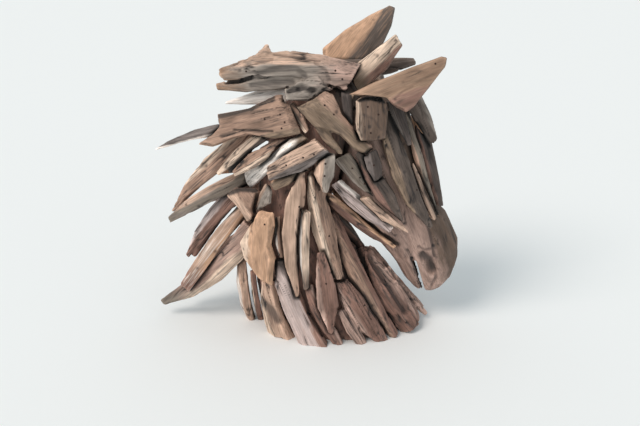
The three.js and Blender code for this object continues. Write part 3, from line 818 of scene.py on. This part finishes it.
class Workshop:
    """What every sub-assembly needs to make its sticks: the frame's solids and the relief."""

    SMOOTHING = 3
    PULLS = (0.55, -0.3)
    BEND_PASSES = 2
    WORN_AND_HIGHLIGHT_GAIN = 7
    FACING = 0.25
    CUT_FLOOR = 0.15
    GRAIN_STEP = 0.37
    JOINT_TOUCH = 0.6 * MM
    JOINT_REACH = 5.6 * MM
    JOINT_RECESS = 1.3 * MM

    def __init__(self) -> None:
        """Reads the solids of the frame."""
        self.relief = ReliefTree()
        self.slots = {s["node"]: s["material_slot"] for s in frame["record"]["subparts"]}
        self.solids = {name: self._triangles(node.data) for name, node in frame["nodes"].items()}
        self.pieces: dict[str, Piece] = {}

    @staticmethod
    def _triangles(mesh: bpy.types.Mesh) -> tuple[np.ndarray, np.ndarray]:
        """A mesh's points, and its triangles as point numbers."""
        mesh.calc_loop_triangles()
        return points_of(mesh), rows_of(mesh.loop_triangles, "vertices", 3, np.int32)

    def neighbours(self, node: str, reach: float) -> BVHTree:
        """A search tree of the other solids near a node.

        Args:
            node: The node.
            reach: How near, in metres.

        Returns:
            The tree.
        """
        own = self.solids[node][0]
        low, high = own.min(axis=0) - reach, own.max(axis=0) + reach
        points, faces = [], []
        for name, (other, triangles) in self.solids.items():
            apart = (other.max(axis=0) < low).any() or (other.min(axis=0) > high).any()
            if name != node and not apart:
                faces += (triangles + len(points)).tolist()
                points += other.tolist()
        return BVHTree.FromPolygons(points, faces)

    def rough_out(self, node: str, voxel_mm: float) -> Piece:
        """Copies a node's solid as an even, fine mesh.

        Args:
            node: The node.
            voxel_mm: The mesh's fineness.

        Returns:
            The new piece, with no finish yet.
        """
        shape = bmesh.new()
        shape.from_mesh(frame["nodes"][node].data)
        bmesh.ops.remove_doubles(shape, verts=shape.verts, dist=0.001 * MM)
        mesh = bpy.data.meshes.new(node)
        shape.to_mesh(mesh)
        shape.free()
        mesh.materials.clear()
        piece = bpy.data.objects.new(f"{node}_driftwood", mesh)
        bpy.context.scene.collection.objects.link(piece)
        worker = piece.modifiers.new("even", "REMESH")
        worker.mode = "VOXEL"
        worker.voxel_size = voxel_mm * MM
        worker.use_smooth_shade = True
        plain_mesh(piece)
        return piece

    def wear_down(self, piece: Piece, node: str, voxel_mm: float) -> None:
        """Rounds a piece's edges, draws it back from its neighbours and marks painted shade near them.

        Args:
            piece: The piece.
            node: The node it stands for.
            voxel_mm: The mesh's fineness.
        """
        mesh = piece.data
        points = points_of(mesh)
        edges = rows_of(mesh.edges, "vertices", 2, np.int32)
        for _ in range(self.SMOOTHING):
            for pull in self.PULLS:
                points = points + pull * (averaged(points, edges) - points)
        move_points(mesh, points)
        normals = normals_of(mesh)
        others = self.neighbours(node, self.JOINT_REACH)
        gaps = np.full(len(points), self.JOINT_REACH)
        for i, p in enumerate(points.tolist()):
            found = others.find_nearest(p, self.JOINT_REACH)
            if found[3] is not None:
                gaps[i] = found[3]
        # Painted shade near other sticks, fading out over JOINT_REACH.
        joint_shade = 1 - smooth_step(gaps, self.JOINT_TOUCH, self.JOINT_REACH)
        bend = ((points - averaged(points, edges)) * normals).sum(axis=1) / (voxel_mm * MM)
        for _ in range(self.BEND_PASSES):
            bend = averaged(bend, edges)
        points = points - normals * (joint_shade * self.JOINT_RECESS)[:, None]
        move_points(mesh, points)
        set_attribute(mesh, "joint_shade", joint_shade)
        # Brighter on rounded edges, as bleached wear and painted highlight, kept off the painted shade near other
        # sticks.
        set_attribute(mesh, "worn", np.clip(bend * self.WORN_AND_HIGHLIGHT_GAIN, 0, 1) * (1 - joint_shade))

    def carve(self, piece: Piece, strokes: tuple[Stroke, ...]) -> None:
        """Notes the depth of a piece's gouge cuts and the painted shade that darkens them.

        Args:
            piece: The piece.
            strokes: Its cuts.
        """
        points, normals = points_of(piece.data), normals_of(piece.data)
        depth, ink = np.zeros(len(points)), np.zeros(len(points))
        for stroke in strokes:
            for turn in ((1.0, MIRROR) if stroke.both_sides else (1.0,)):
                facing = ((normals * turn) @ np.array(DRAWING.ahead)) < self.FACING
                away = stroke.distance(DRAWING.places_of(points * turn))
                cut = (1 - smooth_step(away, self.CUT_FLOOR * stroke.width, stroke.width / 2)) * facing
                depth = np.minimum(depth, -cut * stroke.depth * MM)
                ink = np.maximum(ink, cut * stroke.ink)
        set_attribute(piece.data, "carved", depth)
        set_attribute(piece.data, "crack", ink)

    def finish_piece(self, piece: Piece, node: str) -> None:
        """Sets a piece on the floor, hangs it on the body and hides the node it stands for.

        Args:
            piece: The piece.
            node: The node it stands for.
        """
        points = points_of(piece.data)
        points[:, 2] = np.maximum(points[:, 2], 0.0)
        piece.data.shade_smooth()
        move_points(piece.data, points)
        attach(piece, BODY)
        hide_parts(node)
        self.pieces[node] = piece
        LOG.info("%s: %d faces", piece.name, len(piece.data.polygons))


@dataclass
class Cluster:
    """A sub-assembly of sticks, each dressed along its own grain."""

    sticks: tuple[Stick, ...] = ()
    voxel_mm: float = 1.3

    def build(self, shop: Workshop) -> None:
        """Makes and dresses each stick.

        Args:
            shop: The workshop.
        """
        for stick in self.sticks:
            piece = shop.rough_out(stick.node, self.voxel_mm)
            shop.wear_down(piece, stick.node, self.voxel_mm)
            self.mark_grain(piece, stick, shop)
            shop.carve(piece, stick.strokes)
            self.dress(piece, stick, shop)
            shop.finish_piece(piece, stick.node)

    def mark_grain(self, piece: Piece, stick: Stick, shop: Workshop) -> None:
        """Notes the grain's direction at each point of a stick.

        Args:
            piece: Its mesh, made even and worn.
            stick: The stick; not used.
            shop: The workshop, whose count of pieces sets the pattern apart.
        """
        points = points_of(piece.data)
        axes = GrainFrame.of(points)
        local = axes.local(points)
        set_attribute(piece.data, "grain", local + len(shop.pieces) * shop.GRAIN_STEP)
        set_attribute(piece.data, "share", axes.shares(local))

    def dress(self, piece: Piece, stick: Stick, shop: Workshop) -> None:
        """Cuts a stick's relief and gives it its finish."""
        finish = stick.finish.material(f"driftwood_{stick.node}")
        shop.relief.cut(piece, stick.wear.value, len(shop.pieces) + 1, finish)


@dataclass
class Crown(Cluster):
    """The ears, the forelock between them and the log across the poll."""

    sticks: tuple[Stick, ...] = (
        Stick(
            "near_ear",
            Driftwood(Tone.EARTH, Tone.RUST, Side.RIGHT, 0.2, Tone.FAWN, 0.4, roughness=0.7),
            Wear.SMOOTH,
            (Stroke(((97, 148), (108, 158), (121, 164)), 4, 0.8, 0.25),),
        ),
        Stick(
            "far_ear",
            # The darker right half is painted shade.
            Driftwood(Tone.HONEY, Tone.UMBER, Side.RIGHT, 0.0, Tone.EARTH, 0.5, roughness=0.7),
            Wear.SMOOTH,
        ),
        Stick(
            "forelock", Driftwood(Tone.CREAM, Tone.RUST, Side.RIGHT, 0.35, Tone.OLIVE, 0.8, tip=Tone.FAWN)
        ),
        Stick("brow_bar", Driftwood(Tone.UMBER, Tone.BONE, Side.LEFT, 0.8, Tone.MAUVE, 0.4)),
        Stick(
            "poll_log",
            Driftwood(
                Tone.SILVER, Tone.SAND, Side.RIGHT, 0.25, Tone.ASH, 0.6, tip=Tone.ROSE, root=Tone.EARTH
            ),
            Wear.GNARLED,
            (
                Stroke(((-122, 170), (-104, 171), (-88, 176)), 6, 4.5, 0.9),
                Stroke(((-80, 180), (-52, 188), (-30, 187), (-20, 178)), 11, 1.6, 0.42),
                Stroke(((-88, 166), (-60, 170), (-36, 170)), 11, 1.8, 0.55),
                Stroke(((-110, 186), (-84, 194), (-62, 200)), 5, 1.6, 0.4),
                Stroke(((-40, 160), (-24, 164), (-8, 158)), 12, 5.0, 0.85),
                Stroke(((-60, 206), (-30, 203), (0, 198)), 3.5, 1.6, 0.5),
                Stroke(((-6, 196), (8, 184), (12, 172)), 7, 1.8, 0.4),
                Stroke(((2, 168), (20, 163), (36, 166)), 5, 2.0, 0.5),
            ),
        ),
    )


@dataclass
class Temple(Cluster):
    """The pieces round the temple and the cheek."""

    sticks: tuple[Stick, ...] = (
        Stick(
            "temple_block",
            Driftwood(Tone.HAZEL, Tone.CREAM, Side.LEFT, 0.66, Tone.COCOA, 0.5),
            Wear.PLAIN,
            (
                Stroke(((52, 148), (66, 151), (84, 147)), 13, 1.8, 0.95),
                Stroke(((56, 128), (70, 122), (80, 108)), 5, 0.8, 0.35),
            ),
        ),
        Stick("brow_wedge", Driftwood(Tone.COCOA, Tone.FAWN, Side.RIGHT, 0.6, Tone.BARK, 0.6)),
        Stick("cheek_fork", Driftwood(Tone.FAWN, Tone.TAN, Side.RIGHT, 0.3, Tone.UMBER, 0.45)),
        Stick("cheek_sliver", Driftwood(Tone.TAN, Tone.CREAM, Side.LEFT, 0.4)),
        Stick("cheek_block", Driftwood(Tone.COCOA, Tone.MAUVE, Side.LEFT, 0.2)),
        Stick("cheek_long", Driftwood(Tone.UMBER, Tone.RUST, Side.LEFT, 0.3, Tone.COCOA, 0.5)),
        Stick("cheek_grey", Driftwood(Tone.OLIVE, Tone.SILVER, Side.LEFT, 0.5, Tone.COCOA, 0.5)),
    )


@dataclass
class Face(Cluster):
    """The slats along the face."""

    sticks: tuple[Stick, ...] = (
        Stick(
            "face_broad", Driftwood(Tone.UMBER, Tone.FAWN, Side.LEFT, 0.3, Tone.COCOA, 0.6), Wear.RIBBED
        ),
        Stick("face_strip_low", Driftwood(Tone.SAND, Tone.CREAM, Side.LEFT, 0.4, Tone.ASH, 0.5)),
        Stick("face_strip_long", Driftwood(Tone.OLIVE, Tone.TAN, Side.LEFT, 0.3)),
        Stick("brow_slat", Driftwood(Tone.UMBER, Tone.SILVER, Side.RIGHT, 0.5)),
        Stick("forehead_slat", Driftwood(Tone.COCOA, Tone.RUST, Side.LEFT, 0.3)),
        Stick(
            "face_strip_dark",
            Driftwood(Tone.COCOA, Tone.ASH, Side.LEFT, 0.4, Tone.BARK, 0.7),
            Wear.RIBBED,
        ),
    )


@dataclass
class Jaw(Cluster):
    """The slats along the jaw."""

    sticks: tuple[Stick, ...] = (
        Stick("jaw_pale", Driftwood(Tone.SAND, Tone.FAWN, Side.RIGHT, 0.6)),
        Stick(
            "jaw_grey", Driftwood(Tone.LILAC, Tone.BONE, Side.RIGHT, 0.4, Tone.UMBER, 0.8), Wear.RIBBED
        ),
        Stick("jaw_edge", Driftwood(Tone.RUST, Tone.HONEY, Side.RIGHT, 0.0)),
    )


@dataclass
class Muzzle(Cluster):
    """The head block, whose carved end is the muzzle."""

    voxel_mm: float = 1.5
    sticks: tuple[Stick, ...] = (
        Stick(
            "head_block",
            Driftwood(Tone.ROSE, Tone.HAZEL, Side.RIGHT, 0.4, Tone.UMBER, 0.35, roughness=0.75),
            Wear.CARVED,
            (
                Stroke(((134, -56), (143, -63), (146, -72)), 17, 5.5, 0.85, both_sides=True),
                Stroke(((119, -60), (125, -78), (132, -98)), 7, 3.5, 0.95, both_sides=True),
                Stroke(((141, -16), (146, -38), (149, -56)), 6, 2.4, 0.7, both_sides=True),
                Stroke(((128, -44), (136, -48), (150, -46)), 5, 1.6, 0.5, both_sides=True),
                Stroke(((150, -70), (151, -84), (144, -96)), 6, 1.6, 0.5, both_sides=True),
                Stroke(((112, -28), (116, -44), (112, -58)), 8, 1.2, 0.25, both_sides=True),
            ),
        ),
    )


@dataclass
class Mane(Cluster):
    """The locks that fly back from the neck."""

    sticks: tuple[Stick, ...] = (
        Stick("mane_pale", Driftwood(Tone.SAND, Tone.MAUVE, Side.RIGHT, 0.25, Tone.COCOA, 0.8)),
        Stick(
            "mane_plank",
            Driftwood(Tone.TAN, Tone.FAWN, Side.RIGHT, 0.7, Tone.UMBER, 0.5, bark=0.1),
            Wear.RIBBED,
            (
                Stroke(((-134, 126), (-110, 131), (-88, 137), (-62, 151)), 11, 1.2, 0.85),
                Stroke(((-112, 108), (-86, 107), (-62, 106)), 4, 2.2, 0.8),
                Stroke(((-128, 100), (-112, 104)), 8, 1.5, 0.6),
            ),
        ),
        Stick(
            "mane_white",
            Driftwood(Tone.CHALK, Tone.BONE, Side.LEFT, 0.6, Tone.SILVER, 0.5, root=Tone.FAWN),
        ),
        Stick("mane_barked", Driftwood(Tone.TAN, Tone.CREAM, Side.RIGHT, 0.3, Tone.COCOA, 0.8, bark=0.4)),
        Stick(
            "mane_wedge",
            Driftwood(Tone.TAN, Tone.SAND, Side.LEFT, 0.3),
            Wear.PLAIN,
            (Stroke(((-119, 26), (-104, 31), (-83, 30)), 11, 1.0, 0.9),),
        ),
        Stick("mane_orange", Driftwood(Tone.FAWN, Tone.HONEY, Side.LEFT, 0.4, Tone.COCOA, 0.6)),
        Stick("mane_fin", Driftwood(Tone.SILVER, Tone.SAND, Side.LEFT, 0.4)),
        Stick("mane_split", Driftwood(Tone.CREAM, Tone.COCOA, Side.RIGHT, 0.15, Tone.UMBER, 0.9)),
        Stick(
            "mane_ribbed", Driftwood(Tone.OLIVE, Tone.SAND, Side.LEFT, 0.2, Tone.MAUVE, 0.6), Wear.RIBBED
        ),
        Stick("mane_blade", Driftwood(Tone.TAN, Tone.CREAM, Side.LEFT, 0.4, Tone.COCOA, 0.8)),
        Stick(
            "mane_long_upper",
            Driftwood(Tone.SAND, Tone.HONEY, Side.RIGHT, 0.3, Tone.BONE, 0.6, tip=Tone.RUST),
        ),
        Stick("mane_fork", Driftwood(Tone.RUST, Tone.LILAC, Side.LEFT, 0.2, Tone.BARK, 0.8)),
        Stick(
            "mane_long_lower",
            Driftwood(Tone.ROSE, Tone.CREAM, Side.RIGHT, 0.3, Tone.ASH, 0.7, tip=Tone.OLIVE),
        ),
        Stick("mane_shard", Driftwood(Tone.CHALK, Tone.BONE, Side.LEFT, 0.4, Tone.LILAC, 0.4)),
        Stick(
            "mane_horn", Driftwood(Tone.MAUVE, Tone.BONE, Side.RIGHT, 0.2, Tone.COCOA, 0.7), Wear.RIBBED
        ),
    )


@dataclass
class Neck(Cluster):
    """The slats down the neck."""

    sticks: tuple[Stick, ...] = (
        Stick("neck_peg", Driftwood(Tone.SILVER, Tone.SAND, Side.LEFT, 0.1, Tone.UMBER, 0.4)),
        Stick("neck_bold", Driftwood(Tone.HONEY, Tone.CREAM, Side.LEFT, 0.5, Tone.TAN, 0.4), Wear.SMOOTH),
        Stick(
            "neck_step", Driftwood(Tone.CREAM, Tone.BONE, Side.LEFT, 0.5, Tone.TAN, 0.7, tip=Tone.UMBER)
        ),
        Stick("neck_long_back", Driftwood(Tone.SAND, Tone.TAN, Side.RIGHT, 0.5, Tone.FAWN, 0.5)),
        Stick("neck_long_front", Driftwood(Tone.TAN, Tone.CREAM, Side.LEFT, 0.0, Tone.UMBER, 0.6)),
        Stick("neck_back_small", Driftwood(Tone.TAN, Tone.BONE, Side.LEFT, 0.3)),
        Stick("neck_right", Driftwood(Tone.TAN, Tone.RUST, Side.RIGHT, 0.3, Tone.COCOA, 0.6)),
        Stick("throat_slat", Driftwood(Tone.RUST, Tone.UMBER)),
    )


@dataclass
class Core(Cluster):
    """The dark inner wood of the neck, which shows only through the gaps."""

    voxel_mm: float = 2.4
    sticks: tuple[Stick, ...] = (Stick("neck_block", Driftwood(Tone.RUST, Tone.UMBER), Wear.GNARLED),)


@dataclass
class Foot(Cluster):
    """The short pieces round the foot, sawn off level."""

    sticks: tuple[Stick, ...] = (
        Stick(
            "foot_leaf", Driftwood(Tone.RUST, Tone.ROSE, Side.LEFT, 0.4, Tone.COCOA, 0.5), Wear.GNARLED
        ),
        Stick(
            "foot_pink",
            # The dark upper end is a painted shadow, cast by neck_bold.
            Driftwood(Tone.LILAC, Tone.RUST, Side.RIGHT, 0.35, Tone.ROSE, 0.4, root=Tone.COCOA),
        ),
        Stick("foot_red", Driftwood(Tone.RUST, Tone.ROSE, Side.RIGHT, 0.5)),
        Stick(
            "foot_burr", Driftwood(Tone.ROSE, Tone.RUST, Side.RIGHT, 0.0, Tone.COCOA, 0.7), Wear.GNARLED
        ),
        Stick(
            "foot_bark",
            Driftwood(Tone.SAND, Tone.CREAM, Side.LEFT, 0.4, Tone.RUST, 0.5, bark=0.15),
            Wear.GNARLED,
            (Stroke(((-80, -112), (-64, -126), (-54, -140)), 15, 1.2, 0.7),),
        ),
        Stick("foot_left", Driftwood(Tone.SAND, Tone.BONE, Side.LEFT, 0.5, Tone.RUST, 0.5)),
        Stick("foot_thin", Driftwood(Tone.RUST, Tone.CREAM, Side.LEFT, 0.5)),
        Stick(
            "chest_log",
            Driftwood(Tone.RUST, Tone.ROSE, Side.RIGHT, 0.35, Tone.COCOA, 0.8),
            Wear.GNARLED,
            (
                Stroke(((66, -56), (92, -94), (112, -126)), 15, 6.5, 0.7),
                Stroke(((84, -64), (104, -90), (124, -118)), 5, 3.0, 0.6),
            ),
        ),
    )


@dataclass
class Lock:
    """A stick of the far side that has no twin on the near side."""

    start: Place
    end: Place
    sides: tuple[float, float]
    width: float
    thick: float

    def axes(self) -> GrainFrame:
        """Its own axes."""
        ends = [DRAWING.at_side(p, y) for p, y in zip((self.start, self.end), self.sides)]
        return GrainFrame.along_line(ends[0], ends[1], self.width * MM, self.thick * MM)


@dataclass
class FarSide(Cluster):
    """The far side's bundles: each stick in them has its own grain and tone."""

    LOCK_STEP = 0.17
    TONE_STRIDE = 3

    voxel_mm: float = 1.7
    twins: dict[str, tuple[str, ...]] = field(
        default_factory=lambda: {
            "far_temple": ("temple_block", "cheek_fork", "mane_pale"),
            "far_face": (
                "forehead_slat", "face_broad", "face_strip_low", "face_strip_long", "cheek_long"
            ),
            "far_jaw": ("cheek_grey", "jaw_grey", "jaw_edge"),
            "far_neck": ("neck_long_back", "neck_step", "neck_long_front", "neck_right", "foot_leaf"),
            "far_feet": ("foot_pink", "foot_bark", "neck_bold"),
        }
    )
    locks: dict[str, tuple[Lock, ...]] = field(
        default_factory=lambda: {
            "far_temple": (
                Lock((-30, 108), (-124, 108), (50, 18), 36, 15),
                Lock((-48, 72), (-160, 53), (53, 20), 28, 14),
            ),
            "far_neck": (Lock((-42, 40), (-176, 5), (56, 15), 22, 14),),
            "far_feet": (
                Lock((-56, -2), (-165, -84), (54, 14), 26, 14),
                Lock((-56, -34), (-178, -102), (54, 20), 26, 14),
            ),
            "far_chest": (
                Lock((92, -60), (128, -134), (62, 62), 40, 22),
                Lock((46, -60), (92, -142), (66, 66), 38, 20),
            ),
        }
    )
    tones: tuple[Tone, ...] = (
        Tone.TAN, Tone.ROSE, Tone.FAWN, Tone.SAND, Tone.MAUVE, Tone.RUST, Tone.SILVER, Tone.HONEY
    )

    def __post_init__(self) -> None:
        """Lists the bundles as sticks."""
        finish = Driftwood(Tone.TAN, Tone.UMBER, Side.RIGHT, 0.7, limbs=self.tones)
        nodes = [name for name in frame["nodes"] if name.startswith("far_") and name != "far_ear"]
        self.sticks = tuple(Stick(name, finish, Wear.PLAINER) for name in sorted(nodes))

    def mark_grain(self, piece: Piece, stick: Stick, shop: Workshop) -> None:
        """Gives each point of a bundle the grain of the stick it belongs to.

        Args:
            piece: Its mesh, made even and worn.
            stick: The stick.
            shop: The workshop, whose count of pieces sets the pattern apart.
        """
        points = points_of(piece.data)
        twins = self.twins.get(stick.node, ())
        frames = [GrainFrame.of(shop.solids[twin][0], mirrored=True) for twin in twins]
        frames += [lock.axes() for lock in self.locks.get(stick.node, ())]
        nearest = np.argmin([axes.reach(points) for axes in frames], axis=0)
        grain, share, tone = np.zeros_like(points), np.zeros_like(points), np.zeros(len(points))
        for number, axes in enumerate(frames):
            own = nearest == number
            local = axes.local(points[own])
            grain[own] = local + (len(shop.pieces) + self.LOCK_STEP * number) * shop.GRAIN_STEP
            share[own] = axes.shares(local)
            tone[own] = ((number * self.TONE_STRIDE + len(shop.pieces)) % len(self.tones) + 0.5) / len(self.tones)
        set_attribute(piece.data, "grain", grain)
        set_attribute(piece.data, "share", share)
        set_attribute(piece.data, "stick", tone)


@dataclass
class Brads:
    """The heads of the brads that hold the sticks."""

    radius_mm: float = 1.3
    proud_mm: float = 0.5
    places: dict[str, tuple[Place, ...]] = field(
        default_factory=lambda: {
            "poll_log": ((20, 185), (29, 174), (-96, 184)),
            "near_ear": ((150, 194),),
            "temple_block": ((62, 138), (66, 104), (76, 128)),
            "cheek_fork": ((6, 140), (18, 128), (48, 96)),
            "mane_plank": ((-52, 128), (-46, 118), (-50, 110), (-72, 122)),
            "mane_pale": ((-8, 76), (-22, 72), (-44, 62)),
            "neck_peg": ((7, 64), (6, 48)),
            "neck_bold": ((-72, -15),),
            "cheek_grey": ((42, 58), (52, 46), (58, 38)),
            "cheek_block": ((70, 62),),
            "neck_long_back": ((-27, 8),),
            "neck_long_front": ((-1, 30), (12, -30)),
            "face_broad": ((126, 30),),
            "foot_burr": ((58, -120), (66, -138)),
            "foot_leaf": ((8, -92),),
        }
    )

    def build(self, shop: Workshop) -> None:
        """Sets a head on each place, square to the wood under it.

        Args:
            shop: The workshop, with the sticks made.
        """
        points: list[Vector] = []
        ways: list[Vector] = []
        graph = bpy.context.evaluated_depsgraph_get()
        for node, places in self.places.items():
            tree = BVHTree.FromObject(shop.pieces[node], graph)
            for place in places:
                spot, normal, _, _ = tree.ray_cast(DRAWING.eye, DRAWING.sight(place))
                if spot is None:
                    LOG.warning("a brad misses %s at %s", node, place)
                    continue
                points.append(spot)
                ways.append(normal)
        mesh = bpy.data.meshes.new("brads")
        mesh.from_pydata(points, [], [])
        set_attribute(mesh, "way", np.array([list(w) for w in ways]))
        heads = bpy.data.objects.new("brads", mesh)
        bpy.context.scene.collection.objects.link(heads)
        worker = heads.modifiers.new("heads", "NODES")
        tree, keys = self._tree()
        worker.node_group = tree
        worker[keys["Radius"]] = self.radius_mm * MM
        worker[keys["Proud"]] = self.proud_mm * MM
        worker[keys["Finish"]] = RustyIron().material()
        plain_mesh(heads)
        heads.data.shade_smooth()
        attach(heads, BODY)
        LOG.info("brads: %d heads", len(points))

    @staticmethod
    def _tree() -> tuple[Tree, dict[str, str]]:
        """The node tree that sets the heads.

        Returns:
            The tree, and its inputs' identifiers by name.
        """
        tree = bpy.data.node_groups.new("brad_heads", "GeometryNodeTree")
        kinds = {"Geometry": "Geometry", "Radius": "Float", "Proud": "Float", "Finish": "Material"}
        keys: dict[str, str] = {}
        for name, kind in kinds.items():
            socket = tree.interface.new_socket(name, in_out="INPUT", socket_type=f"NodeSocket{kind}")
            keys[name] = socket.identifier
        tree.interface.new_socket("Geometry", in_out="OUTPUT", socket_type="NodeSocketGeometry")
        given = add_node(tree, "NodeGroupInput").node.outputs
        ball = add_node(
            tree, "GeometryNodeMeshUVSphere", {"Segments": 10, "Rings": 6, "Radius": given["Radius"]}
        )
        flat = add_node(
            tree, "ShaderNodeMath", {0: given["Proud"], 1: given["Radius"]}, operation="DIVIDE"
        )
        size = add_node(tree, "ShaderNodeCombineXYZ", {0: 1.0, 1: 1.0, 2: flat})
        way = add_node(tree, "GeometryNodeInputNamedAttribute", {"Name": "way"}, data_type="FLOAT_VECTOR")
        turn = add_node(tree, "FunctionNodeAlignRotationToVector", {"Vector": way}, axis="Z")
        heads = add_node(
            tree,
            "GeometryNodeInstanceOnPoints",
            {"Points": given["Geometry"], "Instance": ball, "Rotation": turn, "Scale": size},
        )
        real = add_node(tree, "GeometryNodeRealizeInstances", {"Geometry": heads})
        done = add_node(tree, "GeometryNodeSetMaterial", {"Geometry": real, "Material": given["Finish"]})
        add_node(tree, "NodeGroupOutput", {"Geometry": done})
        return tree, keys


@dataclass
class Studio:
    """A plain pale floor and soft light from the upper left."""

    floor_half: float = 40.0
    floor_tone: str = "f2f4f4"
    sky: float = 0.66
    sky_tone: str = "f2fbff"
    key: float = 1.65
    key_tone: str = "fff5ec"
    key_spread_deg: float = 30.0
    key_from: tuple[float, float, float] = (-0.52, -0.45, 0.72)

    def build(self) -> None:
        """Makes the floor, the sky and the lamp."""
        mesh = bpy.data.meshes.new("floor")
        h = self.floor_half
        mesh.from_pydata([(-h, -h, 0), (h, -h, 0), (h, h, 0), (-h, h, 0)], [], [(0, 1, 2, 3)])
        floor = bpy.data.objects.new("floor", mesh)
        bpy.context.scene.collection.objects.link(floor)
        paint = bpy.data.materials.new("matt_white_card")
        paint.use_nodes = True
        shader = paint.node_tree.nodes["Principled BSDF"]
        shader.inputs["Base Color"].default_value = linear_from_hex(self.floor_tone)
        shader.inputs["Roughness"].default_value = 0.95
        mesh.materials.append(paint)
        scene = bpy.context.scene
        scene.world = bpy.data.worlds.new("sky")
        scene.world.use_nodes = True
        sky = scene.world.node_tree.nodes["Background"]
        sky.inputs["Color"].default_value = linear_from_hex(self.sky_tone)
        sky.inputs["Strength"].default_value = self.sky
        lamp = bpy.data.lights.new("key", "SUN")
        lamp.energy = self.key
        lamp.color = linear_from_hex(self.key_tone)[:3]
        lamp.angle = math.radians(self.key_spread_deg)
        holder = bpy.data.objects.new("key", lamp)
        scene.collection.objects.link(holder)
        holder.rotation_euler = (-Vector(self.key_from)).to_track_quat("-Z", "Y").to_euler()
        scene.view_settings.view_transform = "Standard"


def main() -> None:
    logging.basicConfig(level=logging.INFO, format="%(name)s: %(message)s")
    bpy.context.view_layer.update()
    DRAWING.place_camera()
    Studio().build()
    shop = Workshop()
    for cluster in (
        Crown(), Temple(), Face(), Jaw(), Muzzle(), Mane(), Neck(), Core(), Foot(), FarSide()
    ):
        cluster.build(shop)
    Brads().build(shop)


if __name__ == "__main__":
    main()
